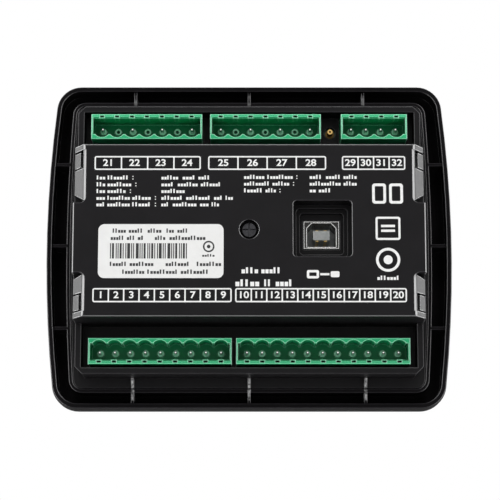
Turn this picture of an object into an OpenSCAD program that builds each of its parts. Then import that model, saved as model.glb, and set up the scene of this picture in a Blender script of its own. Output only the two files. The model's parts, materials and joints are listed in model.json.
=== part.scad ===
// Panel-mounted controller for a generating set.
// Seen from the front, X runs to the right, Z runs up and Y runs to the rear.
// The origin is the middle of the bezel, on the face of the panel that the lip meets.

/* [Bezel] */
// Width of the bezel at its widest
bezel_w = 140; // [137:0.5:150]
// Height of the bezel
bezel_h = 113; // [110:0.5:122]
// Depth of the bezel in front of the panel
bezel_d = 14; // [13:0.5:18]
// Radius of the bowed left and right sides
bow_r = 436; // [300:4:900]
// Radius of the bezel's corners
corner_r = 9; // [8:0.5:11]
// Radius of the rounded front edge
edge_r = 6; // [4:0.5:7]
// Width of the lip that meets the panel
lip_w = 2; // [1.6:0.1:2.6]
// How far the lip tapers in at the panel
taper_w = 0.5; // [0.2:0.1:0.8]
// Depth over which the lip tapers
taper_d = 4; // [2:0.5:6]
// Thickness of the front wall
front_wall = 2.8; // [2.4:0.1:3.4]
// Depth of the sunk fascia that the keys stand in
fascia_d = 1; // [0.5:0.1:1.3]
// Border of the fascia, from the bezel's edge
fascia_border = 10.5; // [9:0.5:12]
// Thickness of the ribs across the channel and on the flange
rib_t = 1; // [0.8:0.1:1.6]
// Spacing of the ribs along the top and the bottom
rib_step_x = 39.6; // [30:0.2:44]
// Spacing of the ribs up the sides
rib_step_z = 28.6; // [20:0.2:32]

/* [Rear case] */
// Width of the part that goes through the panel
case_w = 116.4; // [114:0.2:119]
// Height of the part that goes through the panel
case_h = 91.6; // [90:0.2:95]
// Depth of the raised panel behind the front of the mounting panel
case_d = 29; // [26:0.5:34]
// Wall of the rear case
wall = 2; // [1.6:0.1:2.4]
// Chamfer on the case's upright corners
case_chamfer = 2.4; // [1:0.2:3.6]
// Height of the raised panel
panel_h = 57.7; // [54:0.2:59]
// Radius on the raised panel's edges
panel_edge_r = 0.8; // [0.4:0.1:1.4]
// Depth of the tray walls' rims
tray_rim = 12.8; // [10:0.2:14]
// Depth of the tray floors
tray_floor = 4.4; // [4:0.1:5.4]
// Thickness of the tray floors
floor_t = 1.6; // [1.2:0.1:2]
// How far the flange stands out to each side
flange_reach_x = 3.1; // [2.4:0.1:3.6]
// How far the flange stands out above and below
flange_reach_z = 3.4; // [2.4:0.1:3.8]
// Thickness of the flange
flange_t = 1.2; // [1:0.1:1.6]
// How far the flange's rear face lies in front of the panel
flange_inset = 1.4; // [1.2:0.1:2]
// Width of the ridge round the flange
ridge_t = 1.2; // [0.8:0.1:1.6]
// How far the ridge lies in front of the panel
ridge_inset = 1; // [0.4:0.1:1.1]
// Corner radius of the flange
flange_r = 3; // [2.6:0.1:4.5]
// Radius of the bowed sides of the flange and of the ring round it
ring_bow_r = 700; // [500:10:1200]
// Width of the seat that the flange lies on
seat_w = 2; // [1.4:0.1:2.4]

/* [Clip pockets] */
// How far the clip ramps cut into the raised panel's ends
ramp_in = 4.2; // [3.6:0.1:5]
// How far the clip ramps run down the sides
ramp_run = 6.5; // [5:0.1:9]
// Width and depth of the bevel along the clip ramps
bevel_w = 1; // [0.6:0.1:1.4]
// Width of the slits round the tab in each clip ramp
slit_w = 0.6; // [0.4:0.05:0.8]
// Bevel on the edge of each tab
tab_bevel = 0.5; // [0.3:0.05:0.8]
// How much the end caps stand proud of the ramps
cap_d = 0.3; // [0.2:0.1:0.8]
// Length of each end cap
cap_l = 1.8; // [1:0.05:2.2]
// Length of each clip slot
slot_l = 6.2; // [4:0.1:7]
// Length of the rounded end of each pocket
pocket_end = 2.2; // [1.6:0.1:3.2]
// How far the gap at an upper pocket's end reaches along the ramp at the case's side
upper_end_rise = 4.6; // [1:0.1:5]
// How far the gap at a lower pocket's end reaches along the ramp at the case's side
lower_end_rise = 1.8; // [1:0.1:5]
// How far both gaps reach along the ramp at the pocket's inner edge
end_drop = 0.5; // [0.2:0.1:1]
// Wall round each pocket inside the case
pocket_wall = 1.6; // [1.2:0.1:2]
// Length of the upper pockets
upper_pocket_l = 19.9; // [18:0.1:24]
// Length of the lower pockets
lower_pocket_l = 14.6; // [13:0.1:18]

/* [Terminal headers] */
// Distance from contact to contact
pitch = 5.08; // [5:0.02:5.2]
// Length of a header beyond its outer contacts, both ends together
header_ends = 7.2; // [6.6:0.1:7.6]
// Width of a header
header_w = 8.6; // [8.2:0.1:9]
// Height of a header above its board
header_h = 12; // [11:0.2:13]
// Thickness of a header's plain walls
header_wall = 0.6; // [0.5:0.05:0.9]
// Thickness of a header's outer wall
outer_wall = 1.4; // [1.2:0.05:1.6]
// Bevel along the outer wall's rim
rim_bevel = 0.5; // [0.3:0.05:0.7]
// Thickness of the scalloped wall between the scallops
scallop_wall = 1.7; // [1.3:0.05:1.9]
// Radius of the scallops
scallop_r = 2.8; // [2.4:0.05:3.2]
// Thickness of a header's floor
header_base = 3.2; // [2:0.1:3.6]
// Width of the coding notches
notch_w = 1.4; // [1:0.05:1.5]
// Thickness of the coding notches
notch_t = 0.75; // [0.5:0.05:0.9]
// Distance of the coding notches from the outer wall's inside
notch_in = 0.25; // [0.2:0.05:0.4]
// Width of the plain rim at each coding notch
boss_w = 2; // [1.8:0.05:2.4]
// Depth of the coding notches
notch_d = 5; // [3:0.5:7]
// Width of a square contact pin
pin_w = 1; // [0.8:0.05:1.2]
// How far the pins end below the rim
pin_drop = 4.2; // [4.1:0.1:5]
// Length of the pins in front of the board
pin_tail = 2.4; // [1.6:0.1:3]
// Contacts of the header at the end of the lower row
end_1_9_count = 9; // [5:1:9]
// Places of the header at the end of the upper row
end_21_24_count = 7; // [3:2:7]
// Contacts of the header at the other end of the upper row
end_29_32_count = 4; // [2:1:4]
// Gap between the rows of headers and the case's side walls
row_edge = 2.5; // [2:0.1:4]
// Gap for the brass pin between two upper headers
brass_gap = 6.8; // [5:0.1:9]
// Gap between the lower headers
lower_gap = 1.5; // [0.6:0.1:2.4]
// Gap between the first two upper headers
upper_gap = 2.7; // [1.5:0.1:4]
// Gap between a header and the tray's outer wall
header_edge = 1.1; // [0.6:0.1:1.6]
// Radius of the collar round each contact
collar_r = 1.1; // [1:0.05:1.5]
// Height of the collars
collar_h = 0.7; // [0.4:0.1:1]
// Length of the taper at a pin's tip
pin_taper = 0.6; // [0.3:0.1:1]
// Radius of the hole at a place with no contact
empty_r = 0.6; // [0.4:0.05:0.8]
// Radius of the brass pin
brass_r = 0.9; // [0.7:0.05:1.1]
// How far the brass pin stands out of the tray's floor
brass_rise = 2.2; // [1.4:0.1:3]
// Radius of the brass pin's foot
brass_foot_r = 1.5; // [1.2:0.1:1.7]
// Thickness of the brass pin's foot
brass_foot_t = 0.6; // [0.3:0.1:0.8]
// Radius of the dimple in the brass pin's end
dimple_r = 0.35; // [0.2:0.05:0.5]
// Depth of the dimple
dimple_d = 0.8; // [0.4:0.1:1.2]
// Radius of the hole that the brass pin stands in
brass_hole_r = 2; // [1.8:0.1:2.4]

/* [Data port] */
// Place of the port across the panel
port_x = -24.2; // [-28:0.1:-20]
// Place of the port up the panel
port_z = 0.3; // [-2:0.1:4]
// Width of the well at the panel
well_w = 19.4; // [18:0.2:21]
// Height of the well at the panel
well_h = 18.8; // [17:0.2:20]
// Depth of the well
well_d = 12; // [9:0.5:14]
// Depth of the well's first step
well_first = 8; // [5:0.5:8.5]
// How far each step of the well goes in
well_step = 1.2; // [0.6:0.1:1.6]
// Number of steps in the well
well_steps = 3; // [2:1:3]
// Corner radius of the well
well_r = 1.2; // [0.6:0.1:1.6]
// Wall round the well inside the case
well_wall = 1.4; // [1:0.1:2]
// Width of the port's shell
shell_w = 11.9; // [11:0.1:12.2]
// Height of the port's shell
shell_h = 9.3; // [8.8:0.1:10.8]
// Wall of the port's shell at its sides
shell_t = 1.1; // [0.8:0.05:1.3]
// Wall of the port's shell above and below its mouth
shell_lip = 0.6; // [0.4:0.05:0.9]
// Chamfer on the port's upper corners
shell_chamfer = 1.7; // [1:0.1:2]
// Width of the port's tongue
tongue_w = 5.6; // [5:0.1:6]
// Height of the port's tongue
tongue_h = 3.2; // [2.8:0.1:3.6]
// Thickness of the insulator that the tongue stands on
tongue_base = 2; // [1.4:0.1:3]
// How far the tongue ends inside the shell's rim
tongue_drop = 0.8; // [0.4:0.1:1.2]
// Width of the port's contacts
contact_w = 1; // [0.8:0.1:1.2]
// Thickness of the port's contacts
contact_t = 0.25; // [0.15:0.05:0.35]

/* [Keys and display] */
// Width of the display window
window_w = 58; // [54:0.5:59]
// Height of the display window
window_h = 30; // [26:0.5:31]
// Place of the window across the front
window_x = -17; // [-17.5:0.1:-16]
// Place of the window up the front
window_z = 23; // [22.5:0.1:25]
// Width of a mode key
mode_key_w = 20; // [17:0.5:21]
// Height of a mode key
mode_key_h = 13; // [10:0.5:13.5]
// Corner radius of the mode keys
mode_key_r = 3; // [2:0.5:4]
// Spacing of the mode keys
mode_step = 28; // [26:0.5:28.5]
// Height of the row of mode keys
mode_z = -34; // [-36:0.5:-33.5]
// Width of a transfer key
transfer_key_w = 14; // [11:0.5:15]
// Height of a transfer key
transfer_key_h = 9; // [7:0.5:10]
// Corner radius of the transfer keys
transfer_key_r = 2.5; // [1.5:0.5:3]
// Distance of the transfer keys from the middle
transfer_x = 16; // [14:0.5:17]
// Height of the row of transfer keys
transfer_z = -12; // [-13:0.5:-11]
// Diameter of a menu key
menu_key_d = 10; // [8:0.5:10.5]
// Spacing of the menu keys
menu_step = 13; // [12.8:0.1:13.2]
// Share of the room beside the display that lies left of the menu keys
menu_share = 0.3433; // [0.2:0.01:0.8]
// Travel of a key
key_travel = 0.8; // [0.5:0.1:1]
// How far a key stands out of the fascia
key_rise = 0.9; // [0.5:0.1:1]
// Rounding of a key's front edge
key_edge_r = 0.6; // [0.3:0.1:0.8]
// Clearance round a key
key_clear = 0.3; // [0.2:0.05:0.4]
// Thickness of a key's flange
key_flange_t = 1; // [0.8:0.1:1.4]
// Width of a key's flange
key_flange_w = 1.2; // [0.8:0.1:1.4]
// Length of a key's stem behind the flange
key_stem = 1.6; // [1.2:0.1:2]
// Radius of a key's stem
key_stem_r = 1.5; // [1.2:0.1:1.8]
// Height of a snap dome
dome_h = 0.35; // [0.25:0.05:0.5]
// Gap left over a snap dome when its key is pressed
dome_gap = 0.15; // [0.1:0.05:0.3]
// Radius of an indicator's light pipe
pipe_r = 1.5; // [1:0.1:2]
// Width and thickness of a light pipe's collar
pipe_collar = 0.8; // [0.5:0.1:1.2]
// Distance of the mode lamps above their keys
mode_lamp_gap = 4.5; // [4:0.1:6]
// Distance of the inner transfer lamps from their keys
transfer_lamp_gap = 8; // [6:0.5:9]
// Spacing of the transfer lamps
lamp_step = 10; // [8:0.5:12]
// Width of a lamp
lamp_w = 3; // [2:0.1:3.2]
// Length of a lamp
lamp_l = 2; // [1.2:0.1:2.4]
// Height of a lamp
lamp_h = 1.2; // [0.6:0.1:1.4]
// Thickness of the window's flange
window_flange_t = 0.8; // [0.6:0.1:1]
// Width of the window's flange
window_flange_w = 1.5; // [1:0.1:2]
// How far the display's frame goes past the window
lcd_border = 2.5; // [2:0.1:3]
// Gap between the window and the display's frame
lcd_gap = 0.2; // [0.1:0.05:0.3]
// Thickness of the display frame's sheet
lcd_sheet = 0.4; // [0.3:0.05:0.5]
// Thickness of the display's glass
glass_t = 1.6; // [1.1:0.1:1.8]

/* [Boards and fixings] */
// Thickness of the circuit boards
board_t = 1.6; // [1.2:0.1:2]
// Gap between the main board and the tray floors
board_gap = 0.5; // [0.3:0.1:0.8]
// Clearance round the edges of the boards
board_clear = 0.3; // [0.2:0.1:0.6]
// Radius of the screw shanks
screw_r = 1.45; // [1.2:0.05:1.6]
// Radius of the screw heads
head_r = 2.75; // [2.4:0.05:2.9]
// Height of the screw heads
head_h = 2; // [1.6:0.1:2.4]
// Rounding of the screw heads
head_edge_r = 0.8; // [0.4:0.1:1]
// Length of each bar of the cross in a screw head
cross_l = 4.6; // [3.6:0.1:4.8]
// Width of each bar of the cross
cross_w = 0.6; // [0.5:0.05:1]
// Depth of the cross
cross_d = 1; // [0.6:0.1:1.2]
// How far the screws go into the bezel's posts
screw_bite = 2.6; // [2:0.1:2.8]
// Radius of the recess for the rear screw
recess_r = 3.25; // [3:0.05:3.5]
// Depth of the recess for the rear screw
recess_d = 3; // [2.6:0.1:4]
// Outer radius of the posts and spacers
post_r = 3; // [2.6:0.1:3.2]
// Outer radius of the posts round the middle screw
centre_post_r = 3.4; // [3:0.1:4]
// Distance of the board screws from the inside of the case's side walls
fixing_inset = 4.2; // [4:0.1:5.2]
// Height of the upper board screws
fixing_upper_z = 2; // [1:0.5:3]
// Height of the lower board screws
fixing_lower_z = -17.5; // [-18:0.1:-17]
// Length of the connector between the boards
link_l = 40; // [30:1:50]
// Width of the connector between the boards
link_w = 5; // [4:0.1:6]
// Height of the connector between the boards
link_z = -31; // [-34:1:-30]

/* [Components] */
// Width of the processor
processor_w = 14; // [10:1:16]
// Height of the processor
processor_h = 1.4; // [1:0.1:1.8]
// Radius of the dot that marks the processor's first contact
mark_r = 0.6; // [0.4:0.1:0.8]
// Depth of that dot
mark_d = 0.2; // [0.1:0.05:0.4]
// Distance of the processor from the right end of the main board
processor_edge = 38.9; // [38:0.1:40]
// Height of the processor on the board
processor_z = -4; // [-5:0.5:0]
// Width of a current transformer
transformer_w = 14; // [12:0.5:15]
// Length of a current transformer
transformer_l = 12; // [10:0.5:13]
// Height of a current transformer
transformer_h = 14; // [10:0.5:18]
// Width and height of the ledge round a current transformer
transformer_ledge = 1.5; // [0.8:0.1:2]
// Spacing of the current transformers
transformer_step = 14.5; // [13.5:0.1:15]
// Distance of the current transformers from the right end of the main board
transformer_edge = 18.9; // [17:0.1:19.5]
// Height of the middle current transformer on the board
transformer_z = 1; // [0:0.5:3]
// Radius of a capacitor
can_r = 4; // [3:0.1:4.2]
// Height of a capacitor
can_h = 12; // [8:0.5:16]
// Radius of the groove crimped in a capacitor
groove_r = 0.5; // [0.3:0.1:0.8]
// Height of that groove
groove_h = 2; // [1:0.1:3]
// Spacing of the capacitors across the board
can_step_x = 11; // [9:0.5:12]
// Spacing of the capacitors up the board
can_step_z = 33; // [30:0.5:36]
// Distance of the middle of the capacitors from the right end of the main board
can_edge = 36.4; // [36:0.1:38]
// Width of the inductor
inductor_w = 11; // [8:0.5:12]
// Thickness of the inductor's base
inductor_base = 2; // [1:0.1:3]
// Height of the inductor
inductor_h = 6; // [4:0.5:8]
// How far the inductor's core lies inside its base
inductor_inset = 0.6; // [0.3:0.1:1]
// Distance of the inductor from the left end of the main board
inductor_edge = 13.4; // [12:0.1:14]
// Height of the inductor on the board
inductor_z = -6; // [-7:0.5:-3]
// Width of an output transistor's body
transistor_w = 6.5; // [5:0.1:7]
// Length of an output transistor's body
transistor_l = 6.1; // [5:0.1:7]
// Height of an output transistor's body
transistor_h = 2.3; // [1.8:0.1:3]
// Width of an output transistor's tab
tab_w = 5.3; // [4:0.1:6]
// Length of an output transistor's tab
tab_l = 9.5; // [8:0.1:11]
// Thickness of an output transistor's tab
tab_t = 0.6; // [0.4:0.1:1]
// Number of output transistors
transistor_count = 4; // [2:1:4]
// Spacing of the output transistors
transistor_step = 9; // [8:0.5:10]
// Distance of the first output transistor from the left end of the main board
transistor_edge = 17.9; // [16:0.1:20]
// Height of the output transistors on the board
transistor_z = -20; // [-20.5:0.5:-18]
// Radius of the battery's holder
battery_r = 7; // [6:0.5:8]
// Thickness of the holder's wall
holder_wall = 1; // [0.6:0.1:1.4]
// Height of the holder
holder_h = 2; // [1:0.1:3]
// Height of the battery
battery_h = 5; // [3:0.1:6]
// Distance of the battery from the left end of the main board
battery_edge = 15.9; // [14:0.1:18]
// Height of the battery on the board
battery_z = 16; // [15:0.5:17]

/* [Label] */
// Width of the label
label_w = 41.2; // [30:0.2:44]
// Height of the label
label_h = 18; // [12:0.2:20]
// Corner radius of the label
label_r = 2; // [1:0.1:3]
// Thickness of the label
label_t = 0.2; // [0.1:0.05:0.3]
// Distance of the label's middle from the side of the case
label_edge = 29.2; // [28:0.1:32]
// Place of the label up the panel
label_z = -7.3; // [-8:0.1:-6]

/* [Hidden] */
$fn = 64;
// Sides of a full circle at the bowed sides and at the bezel's round edges
bow_fn = 240;
edge_fn = 40;
// Straight steps in each bow and each corner of the ring round the flange
bow_steps = 8;
// Overrun of a cut past the face that it opens
over = 1;
// Depth that a rib or post is rooted in the wall that carries it
root = 0.5;
// Clearance between a screw or a light pipe and its hole
hole_clear = 0.05;
// Clearance between pieces that drop into each other
drop_clear = 0.3;

// The bezel's outline: straight above and below, bowed at the sides, round at the corners
half_w = bezel_w / 2;
half_h = bezel_h / 2;
bow_x = half_w - bow_r;
corner_z = half_h - corner_r;
corner_a = asin(corner_z / (bow_r - corner_r));
corner_x = bow_x + (bow_r - corner_r) * cos(corner_a);
fascia_r = corner_r / 2;

// Depths from the front to the rear
fascia_y = fascia_d - bezel_d;
inner_y = front_wall - bezel_d;
key_front = fascia_y - key_rise;
key_rear = inner_y + key_flange_t + key_stem;
display_front = key_rear + key_travel + dome_gap + dome_h;
display_rear = display_front + board_t;
flange_rear = -flange_inset;
flange_front = flange_rear - flange_t;
floor_front = tray_floor - floor_t;
main_rear = floor_front - board_gap;
main_front = main_rear - board_t;
panel_inside = case_d - wall;
header_rim = main_rear + header_h;
header_floor = main_rear + header_base;
pin_tip = header_rim - pin_drop;
port_y = case_d - well_d;
tongue_front = main_rear + shell_t;
tongue_root = tongue_front + tongue_base;
tongue_tip = port_y - tongue_drop;
recess_y = case_d - recess_d;
link_meet = (display_rear + main_front) / 2;
lcd_front = inner_y + window_flange_t + lcd_gap;
glass_front = lcd_front + lcd_sheet;
glass_rear = glass_front + glass_t;

// The ring in the bezel that the rear case's flange drops into
flange_w = case_w + 2 * flange_reach_x;
flange_h = case_h + 2 * flange_reach_z;
ridge_in_w = flange_w + 2 * drop_clear;
ridge_in_h = flange_h + 2 * drop_clear;
ring_w = ridge_in_w + 2 * ridge_t;
ring_h = ridge_in_h + 2 * ridge_t;
ring_in_w = ridge_in_w - 2 * seat_w;
ring_in_h = ridge_in_h - 2 * seat_w;
ring_r = flange_r + drop_clear + ridge_t;
ridge_in_r = flange_r + drop_clear;
ring_in_r = ridge_in_r - seat_w;
ridge_in_bow = ring_bow_r - ridge_t;
ring_in_bow = ridge_in_bow - seat_w;
flange_bow = ridge_in_bow - drop_clear;
// Half the ring's width at a height
function ring_x(z) = ring_w / 2 - ring_bow_r + sqrt(pow(ring_bow_r, 2) - pow(z, 2));

// The inside of the rear case
inner_w = case_w - 2 * wall;
inner_h = case_h - 2 * wall;
hollow_h = panel_h - 2 * wall;
pocket_in = ramp_in + pocket_wall;
ramp_x = case_w / 2 - ramp_in + bevel_w;
// Depth of a clip ramp at a place across the panel
function ramp_y(x) = case_d - bevel_w - (ramp_run - bevel_w) * (x - ramp_x) / (ramp_in - bevel_w);
pocket_foot = case_d - ramp_run;
// Length, reach of the gap at the end, and side of the panel of each pair of pockets
pockets = [[upper_pocket_l, upper_end_rise, 1], [lower_pocket_l, lower_end_rise, -1]];
well = [well_w, well_h];
port_p = [port_x, port_z];
shell = [shell_w, shell_h];

// The rows of terminal headers
function header_len(n) = (n - 1) * pitch + header_ends;
header_z = inner_h / 2 - header_edge - header_w / 2;
// Places that fit in the lower row, and in the upper row beside the brass pin
lower_fit = floor((inner_w - 2 * row_edge - 2 * header_ends - lower_gap) / pitch) + 2;
rest_10_20_count = lower_fit - end_1_9_count;
row_w = header_len(end_1_9_count) + header_len(rest_10_20_count) + lower_gap;
upper_fit = floor((row_w - brass_gap - 3 * header_ends - upper_gap) / pitch) + 3;
rest_25_28_count = upper_fit - end_21_24_count - end_29_32_count;
x_1_9 = row_w / 2 - header_len(end_1_9_count) / 2;
x_10_20 = header_len(rest_10_20_count) / 2 - row_w / 2;
x_21_24 = row_w / 2 - header_len(end_21_24_count) / 2;
x_25_28 = row_w / 2 - header_len(end_21_24_count) - upper_gap - header_len(rest_25_28_count) / 2;
x_29_32 = header_len(end_29_32_count) / 2 - row_w / 2;
// Places, distance between filled places, middle, and side of the panel of each header
spec_1_9 = [end_1_9_count, 1, x_1_9, -1];
spec_10_20 = [rest_10_20_count, 1, x_10_20, -1];
spec_21_24 = [end_21_24_count, 2, x_21_24, 1];
spec_25_28 = [rest_25_28_count, 2, x_25_28, 1];
spec_29_32 = [end_29_32_count, 1, x_29_32, 1];
specs = [spec_1_9, spec_10_20, spec_21_24, spec_25_28, spec_29_32];
brass_x = (x_25_28 - header_len(rest_25_28_count) / 2 + x_29_32 + header_len(end_29_32_count) / 2) / 2;
brass_p = [brass_x, header_z];

// Places on the front
mode_key = [mode_key_w, mode_key_h];
transfer_key = [transfer_key_w, transfer_key_h];
window = [window_w, window_h];
window_p = [window_x, window_z];
menu_reach = menu_step + menu_key_d / 2 + key_flange_w;
menu_left = window_x + window_w / 2 + lcd_border;
menu_room = ring_in_w / 2 - menu_left - 2 * menu_reach;
menu_p = [menu_left + menu_share * menu_room + menu_reach, window_z];
mode_keys = [for (i = [-1.5:1:1.5]) [i * mode_step, mode_z]];
transfer_keys = [[-transfer_x, transfer_z], [transfer_x, transfer_z]];
menu_keys = [
    menu_p,
    menu_p + [0, menu_step],
    menu_p - [0, menu_step],
    menu_p - [menu_step, 0],
    menu_p + [menu_step, 0]
];
lamp_z = mode_z + mode_key_h / 2 + mode_lamp_gap;
lamp_in = transfer_x + transfer_key_w / 2 + transfer_lamp_gap;
lamp_out = lamp_in + lamp_step;
lamps = concat(
    [for (x = [-lamp_out, -lamp_in, lamp_in, lamp_out]) [x, transfer_z]],
    [for (i = [0:2]) [mode_keys[i].x, lamp_z]]
);
lcd_outer = window + 2 * lcd_border * [1, 1];
lcd_inner = lcd_outer - 2 * (lcd_sheet + hole_clear) * [1, 1];
fixing_x = inner_w / 2 - fixing_inset;
fixings = [for (x = [-fixing_x, fixing_x], z = [fixing_lower_z, fixing_upper_z]) [x, z]];

// Places of the main components behind the main board
board_end = inner_w / 2 - board_clear;
processor_p = [board_end - processor_edge, processor_z];
inductor_p = [inductor_edge - board_end, inductor_z];
battery_p = [battery_edge - board_end, battery_z];
label_p = [case_w / 2 - label_edge, label_z];
transformer_x = board_end - transformer_edge;
transistor_x = transistor_edge - board_end;
can_x = board_end - can_edge;
transformers = [for (i = [-1:1]) [transformer_x, transformer_z + i * transformer_step]];
cans = [for (x = [-1, 1], z = [-1, 1]) [can_x + x * can_step_x / 2, z * can_step_z / 2]];
transistors = [for (i = [0:transistor_count - 1]) [transistor_x + i * transistor_step, transistor_z]];

black = "#1b1a1d";
green = "#0f8a52";
steel = "#c9ccd0";

// Moves a piece to a place on the front or the rear
module at(p) {
    translate([p.x, 0, p.y]) children();
}

// An outline in X and Z, made solid from depth y0 to depth y1
module slab(y0, y1) {
    translate([0, y1, 0]) rotate([90, 0, 0]) linear_extrude(y1 - y0) children();
}

// An outline in Z and Y, made solid over a width in X
module across(w) {
    rotate([0, -90, 0]) linear_extrude(w, center = true) children();
}

// A rod along Y
module rod(r, y0, y1) {
    translate([0, y0, 0]) rotate([-90, 0, 0]) cylinder(r = r, h = y1 - y0);
}

// A round piece about Y, from half its section, drawn as radius and depth
module turned() {
    rotate([-90, 0, 0]) rotate_extrude() children();
}

// A rectangle with round corners
module rounded(size, r) {
    square([size.x - 2 * r, size.y], center = true);
    square([size.x, size.y - 2 * r], center = true);
    for (x = [-1, 1], z = [-1, 1]) {
        translate([x * (size.x / 2 - r), z * (size.y / 2 - r)]) circle(r);
    }
}

// A quarter of an outline with bowed sides, straight ends and round corners, as points
function bowed_quarter(size, r, bow) =
    let (
        x = size.x / 2 - bow,
        z = size.y / 2 - r,
        a = asin(z / (bow - r)),
        corner = x + (bow - r) * cos(a)
    )
    concat(
        [for (i = [1:bow_steps]) [x + bow * cos(a * i / bow_steps), bow * sin(a * i / bow_steps)]],
        [for (i = [1:bow_steps], t = [a + (90 - a) * i / bow_steps]) [corner + r * cos(t), z + r * sin(t)]]
    );

// The whole of that outline
module bowed(size, r, bow) {
    q = bowed_quarter(size, r, bow);
    back = [for (i = [len(q) - 1:-1:0]) q[i]];
    polygon(concat(
        q,
        [for (p = back) [-p.x, p.y]],
        [for (p = q) [-p.x, -p.y]],
        [for (p = back) [p.x, -p.y]]
    ));
}

// A section of a given width that rises from y0 to y1 and is rounded over at its end
module rounded_over(w, y0, y1, r) {
    end = y1 > y0 ? 1 : -1;
    low = min(y0, y1 - end * r);
    translate([-w / 2, low]) square([w, abs(y1 - y0) - r]);
    translate([r - w / 2, min(y0, y1)]) square([w - 2 * r, abs(y1 - y0)]);
    for (x = [-1, 1]) translate([x * (w / 2 - r), y1 - end * r]) circle(r);
}

// Lays a section round the bezel's outline and fills what it goes round.
// The section is drawn as distance out from the bezel's edge and distance in front of the panel.
module filled_outline() {
    hull() rotate([90, 0, 0]) {
        for (side = [0, 180]) {
            rotate(side) translate([bow_x, 0, 0]) rotate(-corner_a)
                rotate_extrude(angle = 2 * corner_a, $fn = bow_fn) translate([bow_r, 0]) children();
        }
        for (x = [0, 1], z = [0, 1]) {
            mirror([x, 0, 0]) mirror([0, z, 0]) translate([corner_x, corner_z, 0]) rotate(corner_a)
                rotate_extrude(angle = 90 - corner_a, $fn = edge_fn) translate([corner_r, 0]) children();
        }
    }
}

// The rim's outside in section: tapered lip, straight side and rounded front edge
module rim_outside() {
    polygon([[-edge_r, 0], [-taper_w, 0], [0, taper_d], [0, bezel_d - edge_r], [-edge_r, bezel_d]]);
    rim_round(edge_r);
}

// The rim's inside in section
module rim_inside() {
    translate([-edge_r, -over]) square([edge_r - lip_w, bezel_d - edge_r + over]);
    rim_round(edge_r - front_wall);
}

// The outer quarter of a disc about the middle of the rounded front edge
module rim_round(r) {
    translate([-edge_r, bezel_d - edge_r]) intersection() {
        circle(r, $fn = edge_fn);
        square(r);
    }
}

// Ribs across the channel between the inner ring and the lip
module channel_ribs() {
    lip_in_z = half_h - lip_w + root;
    for (x = [-1:1], side = [-1, 1]) {
        translate([x * rib_step_x, 0, side * (ring_h / 2 - root + lip_in_z) / 2])
            slab(inner_y - root, -ridge_inset) square([rib_t, lip_in_z - ring_h / 2 + root], center = true);
    }
    for (z = [-1:1], side = [-1, 1]) {
        lip_in_x = bow_x + sqrt(pow(bow_r - lip_w, 2) - pow(z * rib_step_z, 2)) + root;
        near = ring_x(z * rib_step_z) - root;
        translate([side * (near + lip_in_x) / 2, 0, z * rib_step_z])
            slab(inner_y - root, -ridge_inset) square([lip_in_x - near, rib_t], center = true);
    }
}

module front_bezel() {
    hole_end = display_front - screw_bite - root;
    color(black) difference() {
        union() {
            difference() {
                filled_outline() rim_outside();
                filled_outline() rim_inside();
            }
            slab(inner_y - root, flange_front) difference() {
                bowed([ring_w, ring_h], ring_r, ring_bow_r);
                bowed([ring_in_w, ring_in_h], ring_in_r, ring_in_bow);
            }
            slab(flange_front - root, -ridge_inset) difference() {
                bowed([ring_w, ring_h], ring_r, ring_bow_r);
                bowed([ridge_in_w, ridge_in_h], ridge_in_r, ridge_in_bow);
            }
            channel_ribs();
            for (p = fixings) at(p) rod(post_r, inner_y - root, display_front);
            rod(centre_post_r, inner_y - root, main_front);
        }
        slab(-bezel_d - over, fascia_y)
            rounded([bezel_w - 2 * fascia_border, bezel_h - 2 * fascia_border], fascia_r);
        at(window_p) slab(fascia_y - over, inner_y + over) square(window, center = true);
        for (p = mode_keys) at(p) key_hole(mode_key, mode_key_r);
        for (p = transfer_keys) at(p) key_hole(transfer_key, transfer_key_r);
        for (p = menu_keys) at(p) rod(menu_key_d / 2 + key_clear, fascia_y - over, inner_y + over);
        for (p = lamps) at(p) rod(pipe_r + hole_clear, fascia_y - over, inner_y + over);
        for (p = fixings) at(p) rod(screw_r + hole_clear, hole_end, display_front + over);
        rod(screw_r + hole_clear, hole_end, main_front + over);
    }
}

// The hole in the front that a key moves in
module key_hole(size, r) {
    slab(fascia_y - over, inner_y + over)
        rounded(size + 2 * key_clear * [1, 1], r + key_clear);
}

// A key with straight sides: cap, flange that keeps it in, and stem
module pad_key(size, r) {
    intersection() {
        slab(key_front, inner_y + root) rounded(size, r);
        linear_extrude(size.y, center = true) rounded_over(size.x, inner_y + root, key_front, key_edge_r);
        rotate([0, -90, 0]) linear_extrude(size.x, center = true)
            rounded_over(size.y, inner_y + root, key_front, key_edge_r);
    }
    slab(inner_y, inner_y + key_flange_t) rounded(size + 2 * key_flange_w * [1, 1], r + key_flange_w);
    rod(key_stem_r, inner_y, key_rear);
}

// A round key with the same flange and stem
module round_key(d) {
    turned() intersection() {
        rounded_over(d, inner_y + root, key_front, key_edge_r);
        translate([0, key_front]) square([d, -key_front]);
    }
    rod(d / 2 + key_flange_w, inner_y, inner_y + key_flange_t);
    rod(key_stem_r, inner_y, key_rear);
}

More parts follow.
